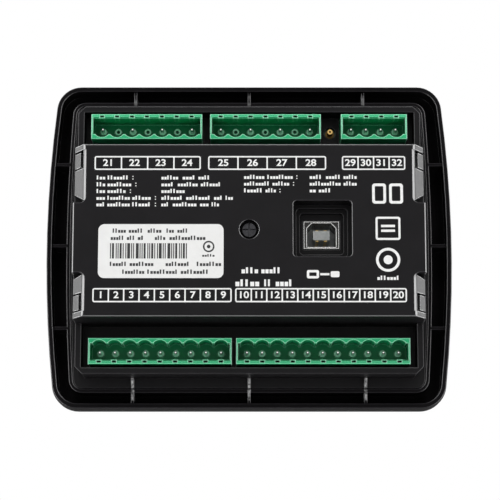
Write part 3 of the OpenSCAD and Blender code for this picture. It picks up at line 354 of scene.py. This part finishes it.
LOOKS = {
    "case_black": dict(
        colour=(0.0062, 0.0057, 0.0066), roughness=0.40, Specular_IOR_Level=0.14,
        grain=0.35, relief=0.006, edge=0.24,
        # Painted shade in hollows
        hollow=HollowShade(depth=9.0, left=0.45),
        # Painted highlights on the panel's rounded edge and the pockets' bevels
        bands=[PANEL_EDGE_HIGHLIGHT, POCKET_EDGE_HIGHLIGHT],
        # Painted glints on the ribs
        scuffs=RibGlints(RIB_STEP, RIB_GLINT_HALF, near=45.9, far=RIB_GLINT_FAR, colour=RIB_GLINT_GREY),
        # Painted highlights along edges
        lines=EdgeHighlights(width=0.50, reach=0.7, dim=CASE_DIM_HIGHLIGHT, lit=CASE_LIT_HIGHLIGHT, up=1,
                    outer_y=PANEL_Y - 5.0, outer=CASE_OUTER_HIGHLIGHT)),
    "bezel_black": dict(
        colour=(0.0064, 0.0059, 0.0066), roughness=0.72, Specular_IOR_Level=0.045,
        grain=0.3, relief=0.004, edge=0.3,
        # Painted glints on the ribs
        scuffs=RibGlints(RIB_STEP, RIB_GLINT_HALF, near=46.0, far=RIB_GLINT_FAR, colour=RIB_GLINT_GREY),
        # Painted highlights along edges
        lines=EdgeHighlights(width=0.55, reach=0.7, dim=BEZEL_DIM_HIGHLIGHT, lit=BEZEL_LIT_HIGHLIGHT, up=0,
                    outer_y=PANEL_Y, outer=BEZEL_LIT_HIGHLIGHT)),
    "window_clear": dict(
        colour=(0.90, 0.94, 0.92), roughness=0.04, Transmission_Weight=1.0, IOR=1.45,
        grain=0.8, mottle=0.02, gloss_span=0.02, relief=0.00004),
    "pipe_clear": dict(
        colour=(0.80, 0.82, 0.78), roughness=0.12, Transmission_Weight=0.7, IOR=1.45,
        grain=0.6, mottle=0.06, gloss_span=0.05, relief=0.001),
    "key_grey": dict(colour=(0.085, 0.09, 0.098), roughness=0.5, **KEY_LOOK),
    "key_red": dict(colour=(0.36, 0.012, 0.014), roughness=0.46, **KEY_LOOK),
    "key_green": dict(colour=(0.012, 0.19, 0.04), roughness=0.46, **KEY_LOOK),
    "sheet_steel": dict(
        colour=(0.60, 0.61, 0.62), roughness=0.28, Metallic=1.0,
        grain=0.5, stretch=(0.06, 1, 1), mottle=0.08, relief=0.002),
    "lcd_grey": dict(
        colour=(0.15, 0.19, 0.125), roughness=0.16,
        grain=0.3, mottle=0.04, gloss_span=0.03, relief=0.00006),
    "backlight_white": dict(colour=(0.82, 0.84, 0.78), roughness=0.5, grain=1.0, mottle=0.03),
    "board_green": dict(
        colour=(0.012, 0.085, 0.03), roughness=0.3,
        grain=0.9, clouds=2.2, mottle=0.3, relief=0.01),
    "led_cream": dict(colour=(0.80, 0.74, 0.52), roughness=0.2, grain=0.7, mottle=0.08),
    "link_black": dict(colour=(0.012, 0.012, 0.013), roughness=0.5, grain=0.4),
    "spacer_cream": dict(colour=(0.62, 0.58, 0.46), roughness=0.45, grain=0.5, mottle=0.06),
    "screw_zinc": dict(
        colour=(0.62, 0.63, 0.65), roughness=0.3, Metallic=1.0,
        grain=0.2, clouds=1.2, mottle=0.12, relief=0.003),
    "screw_dark": dict(
        colour=(0.05, 0.05, 0.054), roughness=0.34, Metallic=1.0,
        grain=0.25, clouds=1.2, mottle=0.3, relief=0.004, edge=0.12),
    "chip_black": dict(colour=(0.016, 0.016, 0.017), roughness=0.55, grain=0.2, relief=0.008),
    "transformer_blue": dict(colour=(0.012, 0.045, 0.21), roughness=0.3, grain=0.8, mottle=0.1),
    "can_sleeve": dict(colour=(0.02, 0.025, 0.07), roughness=0.22, grain=1.2, mottle=0.12),
    "ferrite_grey": dict(colour=(0.05, 0.05, 0.052), roughness=0.65, grain=0.2, relief=0.012),
    "battery_steel": dict(
        colour=(0.62, 0.63, 0.64), roughness=0.24, Metallic=1.0,
        grain=0.3, mottle=0.06, relief=0.002),
    "label_white": dict(
        colour=(0.83, 0.83, 0.82), roughness=0.36,
        grain=0.25, clouds=5.0, mottle=0.025, relief=0.003),
    "brass": dict(
        # A dark colour as painted shade, with a painted highlight at the tip
        colour=(0.10, 0.062, 0.020), roughness=0.3, Metallic=1.0,
        grain=0.15, clouds=0.8, mottle=0.15, relief=0.003, edge=0.1,
        rim=RearHighlight(start=BRASS_TIP_Y - 0.25, full=BRASS_TIP_Y - 0.05, colour=BRASS_TIP_HIGHLIGHT)),
    "header_green": dict(
        colour=GREEN, roughness=0.34, Specular_IOR_Level=0.14,
        grain=0.5, clouds=3.0, mottle=0.2, relief=0.003, edge=0.12,
        # Painted shade in the hollows
        hollow=HollowShade(depth=6.0, left=0.40),
        # Painted highlight on the rim
        rim=RearHighlight(start=HEADER_RIM_Y - 0.3, full=HEADER_RIM_Y - 0.05, colour=MINT_RIM_HIGHLIGHT),
        # Painted shade on the floor and painted highlight on the collars' tops
        bands=[square_faces(HEADER_FLOOR_Y, FLOOR_GREEN_SHADE), square_faces(COLLAR_Y, MINT_COLLAR_HIGHLIGHT)],
        # Painted highlights along edges
        lines=EdgeHighlights(width=0.72, reach=0.45, dim=MINT_DIM_HIGHLIGHT, lit=MINT_LIT_HIGHLIGHT, up=1,
                    outer_y=HEADER_RIM_Y - 0.2, outer=MINT_LIT_HIGHLIGHT)),
    "pin_tin": dict(
        colour=(0.86, 0.86, 0.84), roughness=0.2, Metallic=1.0,
        grain=0.2, stretch=(1, 0.1, 1), mottle=0.06, relief=0.002, edge=0.08),
    "port_steel": dict(
        # A near-black colour as a painted dark reflection on the steel shell
        colour=(0.035, 0.035, 0.034), roughness=0.22, Metallic=1.0,
        grain=0.4, stretch=(1, 0.08, 1), mottle=0.07, relief=0.002, edge=0.15,
        # Painted highlights along edges
        lines=EdgeHighlights(width=0.62, reach=0.4, dim=PORT_DIM_HIGHLIGHT, lit=PORT_LIT_HIGHLIGHT, up=1,
                    outer_y=PANEL_Y, outer=PORT_LIT_HIGHLIGHT)),
    "tongue_pale": dict(
        colour=(0.86, 0.92, 0.88), roughness=0.4, grain=0.4, clouds=2.5, mottle=0.14, edge=0.1),
    "contact_gold": dict(
        colour=(0.83, 0.58, 0.20), roughness=0.2, Metallic=1.0,
        grain=0.2, stretch=(1, 0.1, 1), mottle=0.08, relief=0.002),
    "ink_white": dict(colour=(0.86, 0.86, 0.85), mottle=0.05, relief=0.004, **INK_LOOK),
    "ink_black": dict(colour=(0.016, 0.016, 0.017), mottle=0.2, relief=0.003, **INK_LOOK),
}
materials = {name: surface(name, **look) for name, look in LOOKS.items()}

for part in frame["record"]["subparts"]:
    slots = nodes[part["node"]].data.materials
    slots.clear()
    slots.append(materials[part["material_slot"]])


# Print: flat shapes drawn as loops of (right, up) points and laid on a face

REAR = Matrix(((-1, 0, 0, 0), (0, 0, 1, 0), (0, 1, 0, 0), (0, 0, 0, 1)))
FRONT = Matrix(((1, 0, 0, 0), (0, 0, -1, 0), (0, 1, 0, 0), (0, 0, 0, 1)))
INK_T = 0.03
CORNER_STEPS = 6
CIRCLE_STEPS = 32
# Angles in degrees of a triangle's corners
POINTER_CORNERS = (0, 130, 230)
# A numeral's height as a share of the font's size, how much bolder it gets, and how much wider
NUMERAL_SHARE = 0.73
BOLDER = 0.03
WIDER = 1.15


def arc(x, y, r, start, end, steps):
    """Points along an arc, angles in degrees."""
    angles = [math.radians(start + (end - start) * i / steps) for i in range(steps + 1)]
    return [(x + r * math.cos(a), y + r * math.sin(a)) for a in angles]


def plate(x0, y0, x1, y1, r=0.0):
    """A rectangle between two corners, with round corners if r is given."""
    if not r:
        return [(x0, y0), (x1, y0), (x1, y1), (x0, y1)]
    left, right, low, high = x0 + r, x1 - r, y0 + r, y1 - r
    points = []
    for x, y, start in ((right, low, -90), (right, high, 0), (left, high, 90), (left, low, 180)):
        points += arc(x, y, r, start, start + 90, CORNER_STEPS)
    return points


def outline(x0, y0, x1, y1, w, r, inner_r):
    """A rectangle's line, w wide, with its corners' radii outside and inside."""
    return [plate(x0, y0, x1, y1, r), plate(x0 + w, y0 + w, x1 - w, y1 - w, inner_r)]


def bar(x, y, half_w, half_h, r=0.0):
    """A rectangle about a point."""
    return plate(x - half_w, y - half_h, x + half_w, y + half_h, r)


def disc(x, y, r):
    """A circle."""
    return arc(x, y, r, 0, 360 - 360 / CIRCLE_STEPS, CIRCLE_STEPS - 1)


def ring(x, y, r, w):
    """A circle's line."""
    return [disc(x, y, r), disc(x, y, r - w)]


def pointer(x, y, size, turn):
    """A triangle that points along an angle in degrees."""
    angles = [math.radians(turn + a) for a in POINTER_CORNERS]
    return [(x + size * math.cos(a), y + size * math.sin(a)) for a in angles]


def flat_curve(name, loops):
    """A filled flat curve; a loop inside another is a hole."""
    curve = bpy.data.curves.new(name, "CURVE")
    curve.dimensions = "2D"
    curve.fill_mode = "BOTH"
    for loop in loops:
        spline = curve.splines.new("POLY")
        spline.points.add(len(loop) - 1)
        for point, (x, y) in zip(spline.points, loop):
            point.co = (x, y, 0, 1)
        spline.use_cyclic_u = True
    return curve


def digits(text, x, y, height):
    """A number of a given height as a filled curve, and its place, centred on a point."""
    curve = bpy.data.curves.new("digits", "FONT")
    curve.body = text
    curve.align_x = "CENTER"
    curve.align_y = "CENTER"
    curve.size = height / NUMERAL_SHARE
    curve.offset = height * BOLDER
    return curve, Matrix.Translation((x, y, 0)) @ Matrix.Diagonal((WIDER, 1, 1, 1))


def laid(name, curves, face, depth, thickness, material, body="housing"):
    """Makes curves into one thin piece that stands on a face at a depth along Y."""
    mesh = bpy.data.meshes.new(name)
    joined = bmesh.new()
    lift = Matrix.Translation((0, 0, thickness / 2))
    for curve, place in curves:
        curve.extrude = thickness / 2
        holder = bpy.data.objects.new(name + "_curve", curve)
        bpy.context.scene.collection.objects.link(holder)
        bpy.context.view_layer.update()
        shown = holder.evaluated_get(bpy.context.evaluated_depsgraph_get())
        flat = bpy.data.meshes.new_from_object(shown)
        flat.transform(place @ lift)
        joined.from_mesh(flat)
        bpy.data.objects.remove(holder)
        bpy.data.meshes.remove(flat)
        bpy.data.curves.remove(curve)
    joined.to_mesh(mesh)
    joined.free()
    mesh.transform(Matrix.Translation((0, depth, 0)) @ face)
    mesh.transform(Matrix.Scale(MM, 4))
    mesh.materials.append(material)
    piece = bpy.data.objects.new(name, mesh)
    bpy.context.scene.collection.objects.link(piece)
    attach(piece, body)
    return piece


def printed(name, loops, numbers=(), face=REAR, depth=PANEL_Y, ink="ink_white", body="housing"):
    """Print on a face: loops and numbers in one piece."""
    curves = [(flat_curve(name, loops), Matrix.Identity(4))] + [digits(*n) for n in numbers]
    return laid(name, curves, face, depth, INK_T, materials[ink], body)


# The rear panel's numbered strips

LOWER_STRIP = (-24.3, -19.6)
UPPER_STRIP = (20.0, 24.7)
STRIP_LINE_W = 0.46
STRIP_R, CELL_R = 0.7, 0.2
DIGIT_H = 2.3


def number_strip(name, first, last, x0, x1, y0, y1):
    """A framed strip with a number in each cell."""
    count = last - first + 1
    pitch = (x1 - x0 - STRIP_LINE_W) / count
    loops = [plate(x0, y0, x1, y1, STRIP_R)]
    numbers = []
    for i in range(count):
        left = x0 + STRIP_LINE_W + i * pitch
        right = left + pitch - STRIP_LINE_W
        loops.append(plate(left, y0 + STRIP_LINE_W, right, y1 - STRIP_LINE_W, CELL_R))
        numbers.append((str(first + i), (left + right) / 2, (y0 + y1) / 2, DIGIT_H))
    printed(name, loops, numbers)


number_strip("numbers_1_9", 1, 9, -51.3, -5.7, *LOWER_STRIP)
number_strip("numbers_10_20", 10, 20, -4.6, 51.6, *LOWER_STRIP)
number_strip("numbers_21_24", 21, 24, -51.2, -16.0, *UPPER_STRIP)
number_strip("numbers_25_28", 25, 28, -13.6, 25.5, *UPPER_STRIP)
number_strip("numbers_29_32", 29, 32, 30.7, 51.7, *UPPER_STRIP)

# Lines of plain blocks: a block's share of its cell's width and of the line's height
TALL_BLOCK = (0.5, 0.95)
LOW_BLOCK = (0.8, 0.62)
BLOCK_CELL = 0.98
DOT = 0.34
UPPER_DOT = 0.6


def marks(spans, y, height, width=BLOCK_CELL):
    """A line of plain blocks, some of them tall; spans are the places along it that are filled."""
    loops = []
    for x0, x1 in spans:
        count = max(1, round((x1 - x0) / width))
        cell = (x1 - x0) / count
        for i in range(count):
            # Two of each five are tall; which two depends on where the blocks lie
            tall = (i * 3 + round(10 * x1) + round(y)) % 5 in (0, 3)
            wide, high = TALL_BLOCK if tall else LOW_BLOCK
            left = x0 + i * cell
            loops.append(plate(left, y, left + wide * cell, y + high * height))
    return loops


def two_dots(x, y, height):
    """Two dots, one above the other."""
    return [plate(x, low, x + DOT, low + DOT) for low in (y, y + UPPER_DOT * height)]


# Each line: its height on the panel, the filled places along it, and the place of its two dots
RATINGS = [
    (16.75, [(-50.4, -47.4), (-46.8, -39.7), (-29.0, -23.3), (-22.0, -17.6), (-16.8, -12.8)], -38.6),
    (14.45, [(-50.4, -47.4), (-46.8, -38.8), (-29.0, -24.8), (-23.6, -16.8), (-16.0, -9.2)], -37.6),
    (12.2, [(-50.4, -47.4), (-46.8, -40.6), (-29.0, -21.1)], -39.4),
    (9.9, [(-50.4, -47.4), (-46.8, -39.2), (-38.6, -32.3),
           (-29.0, -21.8), (-20.8, -12.6), (-11.6, -8.6), (-7.8, -5.2)], -31.1),
    (7.7, [(-50.4, -47.4), (-46.8, -39.2), (-38.6, -32.3),
           (-29.0, -26.4), (-25.2, -17.2), (-16.2, -13.2), (-12.4, -9.8)], -31.1),
    (16.95, [(-1.7, 5.2), (6.0, 14.6), (20.0, 24.2), (25.4, 30.4), (31.2, 35.7)], 15.6),
    (14.7, [(-1.7, 6.9), (7.7, 13.4), (20.0, 30.4), (31.2, 35.7)], 14.5),
    (12.4, [(-1.7, 4.6), (5.4, 9.0), (20.0, 22.2), (23.0, 27.2)], 10.0),
]
RATING_H = 1.45
rating_loops = []
for y, spans, dots in RATINGS:
    rating_loops += marks(spans, y, RATING_H) + two_dots(dots, y, RATING_H)
printed("ratings_print", rating_loops)

# The label

LABEL_LEFT, LABEL_RIGHT = -49.6, -8.4
LABEL_BOTTOM, LABEL_TOP = -16.3, 1.7
LABEL_R = 2.0
LABEL_T = 0.14
label_loop = plate(LABEL_LEFT, LABEL_BOTTOM, LABEL_RIGHT, LABEL_TOP, LABEL_R)
label = laid("label_sheet", [(flat_curve("label", [label_loop]), Matrix.Identity(4))],
             REAR, PANEL_Y, LABEL_T, materials["label_white"])
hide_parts("data_label")

# Each line: its height on the panel and the filled places along it
LABEL_LINES = [
    (-1.2, [(-44.9, -40.4), (-39.6, -34.8), (-33.4, -28.7), (-27.2, -24.6), (-23.6, -20.0)]),
    (-3.6, [(-45.5, -41.0), (-40.2, -37.4), (-36.6, -34.4), (-31.0, -27.4), (-26.2, -14.2)]),
    (-12.3, [(-45.7, -40.0), (-39.2, -31.2), (-27.4, -19.4), (-17.2, -9.0)]),
    (-14.9, [(-41.6, -34.2), (-33.4, -23.2), (-22.4, -13.1)]),
]
LABEL_LINE_H = 1.5
BARS_LEFT, BARS_RIGHT = -45.7, -19.9
BARS_BOTTOM, BARS_TOP = -9.8, -4.7
BAR_COUNT = 30
BAR_WIDTHS = (0.3, 0.6, 0.3, 0.85)
BAR_GAPS = (0.3, 0.26, 0.5)
LABEL_SIGN = (-13.3, -5.8)
label_loops = []
for y, spans in LABEL_LINES:
    label_loops += marks(spans, y, LABEL_LINE_H)
# Bars of mixed widths and gaps, made to fill their row
bars = [(BAR_WIDTHS[(i * i + i // 3) % 4], BAR_GAPS[(i * 2 + i // 4) % 3])
        for i in range(BAR_COUNT)]
fit = (BARS_RIGHT - BARS_LEFT) / sum(w + gap for w, gap in bars)
bar_left = BARS_LEFT
for w, gap in bars:
    label_loops.append(plate(bar_left, BARS_BOTTOM, bar_left + w * fit, BARS_TOP))
    bar_left += (w + gap) * fit
label_loops += ring(*LABEL_SIGN, r=1.9, w=0.5) + [disc(*LABEL_SIGN, r=0.6)]
label_loops += marks([(-15.4, -11.2)], y=-9.2, height=0.95, width=0.85)
printed("label_print", label_loops, depth=PANEL_Y + LABEL_T, ink="ink_black")

# Plain signs on the rear panel: two frames, a frame with two bars, a ring with a dot, a bar
# between two plates, and lines of blocks

TWIN_LEFTS, TWIN_W = (40.6, 46.2), 4.6
SIGN_BAR_LOWS, SIGN_BAR_H = (0.7, -0.9), 0.8
SIGN_RING = (45.6, -10.2)
signs = []
for twin_left in TWIN_LEFTS:
    signs += outline(twin_left, 8.6, twin_left + TWIN_W, 15.4, w=0.9, r=0.9, inner_r=0.4)
signs += outline(41.6, -3.6, 49.8, 4.2, w=0.7, r=0.8, inner_r=0.3)
signs += [plate(43.4, low, 48.0, low + SIGN_BAR_H) for low in SIGN_BAR_LOWS]
signs += ring(*SIGN_RING, r=4.0, w=0.9) + [disc(*SIGN_RING, r=1.5)]
signs += outline(18.9, -16.4, 22.9, -13.6, w=0.8, r=0.6, inner_r=0.2)
signs += [plate(23.3, -15.35, 26.3, -14.65), plate(26.7, -16.0, 29.6, -14.0, r=0.5)]
signs += marks([(42.0, 49.4)], y=-16.9, height=1.5, width=1.1)
printed("panel_signs", signs)
printed("panel_notes",
        marks([(-2.5, 3.2), (4.0, 10.6)], y=-14.7, height=2.1, width=1.45)
        + marks([(-4.5, 3.6), (4.9, 7.4), (8.7, 14.5)], y=-19.0, height=2.4, width=1.55))

# Signs on the keys and a line round the display


def key_place(name):
    """The middle of a key's face."""
    low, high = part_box(name)
    return (low.x + high.x) / 2 / MM, (low.z + high.z) / 2 / MM


def tick(x, y):
    """A tick's outline."""
    points = [(-2.0, 0.1), (-0.6, -1.5), (2.2, 1.5), (1.7, 2.0), (-0.6, -0.5), (-1.5, 0.6)]
    return [(x + right, y + up) for right, up in points]


ARROW_SIZE = 2.2
MAINS_STEPS = (-2.0, 0.0, 2.0)
# What is drawn about the middle of each key
KEY_SIGNS = {
    "key_up": lambda x, y: [pointer(x, y, ARROW_SIZE, turn=90)],
    "key_down": lambda x, y: [pointer(x, y, ARROW_SIZE, turn=270)],
    "key_left": lambda x, y: [pointer(x, y, ARROW_SIZE, turn=180)],
    "key_right": lambda x, y: [pointer(x, y, ARROW_SIZE, turn=0)],
    "key_tick": lambda x, y: [tick(x, y)],
    "key_stop": lambda x, y: ring(x, y, r=2.9, w=0.8),
    "key_start": lambda x, y: [bar(x, y, half_w=0.45, half_h=2.9, r=0.2)],
    "key_manual": lambda x, y: [bar(x, y, half_w=2.6, half_h=0.45, r=0.2), disc(x, y + 2.2, r=0.9)],
    "key_auto": lambda x, y: ring(x, y, r=2.9, w=0.6) + [pointer(x, y, size=1.6, turn=0)],
    "key_mains": lambda x, y: [bar(x + step, y, half_w=0.4, half_h=1.6) for step in MAINS_STEPS],
    "key_generator": lambda x, y: ring(x, y, r=2.1, w=0.6),
}
for name, draw in KEY_SIGNS.items():
    printed("sign_" + name, draw(*key_place(name)), face=FRONT, depth=KEY_Y,
            body=name.replace("key_", "") + "_key")

window_low, window_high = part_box("display_window")


def window_loop(margin, r):
    """The display window's outline, widened by a margin."""
    return plate(window_low.x / MM - margin, window_low.z / MM - margin,
                 window_high.x / MM + margin, window_high.z / MM + margin, r)


printed("fascia_lines", [window_loop(margin=1.6, r=1.2), window_loop(margin=1.2, r=0.9)],
        face=FRONT, depth=FASCIA_Y)


# Light, floor and camera, in metres

def area_light(name, place, size, watts):
    """A soft box that faces the object."""
    lamp = bpy.data.lights.new(name, "AREA")
    lamp.shape = "RECTANGLE"
    lamp.size, lamp.size_y = size
    lamp.energy = watts
    holder = bpy.data.objects.new(name, lamp)
    holder.location = place
    holder.rotation_mode = "QUATERNION"
    holder.rotation_quaternion = Vector(place).to_track_quat("Z", "Y")
    bpy.context.scene.collection.objects.link(holder)


area_light("softbox_top", (0.1, 0.6, 1.0), (0.9, 0.7), 9.2)
area_light("softbox_over", (0.0, -0.4, 1.1), (1.2, 0.5), 8.0)
area_light("softbox_left", (0.98, -0.35, 0.14), (0.9, 0.8), 11.0)
area_light("softbox_right", (-0.98, -0.35, 0.14), (0.9, 0.8), 11.0)
area_light("softbox_front", (0.2, -1.0, 0.7), (0.9, 0.7), 4.0)

WHITE = (1, 1, 1, 1)
AMBIENT = 0.5


def seen_directly(tree):
    """1 for rays that show the background: straight from the camera, mirrored or through glass."""
    rays = tree.nodes.new("ShaderNodeLightPath").outputs
    mirrored = calculate(tree, "MAXIMUM", rays["Is Camera Ray"], rays["Is Glossy Ray"])
    return calculate(tree, "MAXIMUM", mirrored, rays["Is Transmission Ray"])


world = bpy.data.worlds.new("studio")
bpy.context.scene.world = world
world.use_nodes = True
tree = world.node_tree
tree.nodes.clear()
sky = node(tree, "ShaderNodeBackground", Color=WHITE)
tree.links.new(span(tree, seen_directly(tree), AMBIENT, 1.0, 0.0, 1.0), sky.inputs["Strength"])
output = tree.nodes.new("ShaderNodeOutputWorld")
tree.links.new(sky.outputs["Background"], output.inputs["Surface"])

# The floor runs into the white background away from the object
FLOOR_Z = -0.16
FLOOR_HALF = 3.0
FADE_START, FADE_END = 0.35, 1.1
corners = plate(-FLOOR_HALF, -FLOOR_HALF, FLOOR_HALF, FLOOR_HALF)
floor_mesh = bpy.data.meshes.new("floor")
floor_mesh.from_pydata([(x, y, FLOOR_Z) for x, y in corners], [], [(0, 1, 2, 3)])
floor = bpy.data.objects.new("floor", floor_mesh)
pale = surface("floor_pale", colour=(0.62, 0.62, 0.62), roughness=0.8, grain=4.0, clouds=200.0,
               mottle=0.02)
tree = pale.node_tree
distance = node(tree, "ShaderNodeVectorMath")
distance.operation = "LENGTH"
tree.links.new(tree.nodes.new("ShaderNodeTexCoord").outputs["Object"], distance.inputs[0])
away = mask(tree, distance.outputs["Value"], FADE_START, FADE_END)
white = node(tree, "ShaderNodeEmission", Color=WHITE, Strength=1.0)
fade = tree.nodes.new("ShaderNodeMixShader")
tree.links.new(product(tree, away, seen_directly(tree)), fade.inputs[0])
tree.links.new(tree.nodes["Principled BSDF"].outputs["BSDF"], fade.inputs[1])
tree.links.new(white.outputs["Emission"], fade.inputs[2])
tree.links.new(fade.outputs["Shader"], tree.nodes["Material Output"].inputs["Surface"])
floor_mesh.materials.append(pale)
bpy.context.scene.collection.objects.link(floor)

# The photograph's camera: its distance, its angle below the object, its focal length in pixels,
# and the origin's place in the picture
CAMERA_D = 0.66744
CAMERA_BELOW = math.radians(10.458)
FOCAL_PX = 1941.636
IMAGE_PX = 500
ORIGIN_PX = (249.165, 245.245)
lens = bpy.data.cameras.new("camera")
lens.sensor_width = 36
lens.lens = FOCAL_PX * lens.sensor_width / IMAGE_PX
lens.shift_x = 0.5 - ORIGIN_PX[0] / IMAGE_PX
lens.shift_y = ORIGIN_PX[1] / IMAGE_PX - 0.5
camera = bpy.data.objects.new("camera", lens)
camera.location = (0, CAMERA_D * math.cos(CAMERA_BELOW), -CAMERA_D * math.sin(CAMERA_BELOW))
camera.rotation_mode = "QUATERNION"
camera.rotation_quaternion = camera.location.to_track_quat("Z", "Y")
bpy.context.scene.collection.objects.link(camera)
bpy.context.scene.camera = camera
bpy.context.scene.view_settings.view_transform = "Standard"
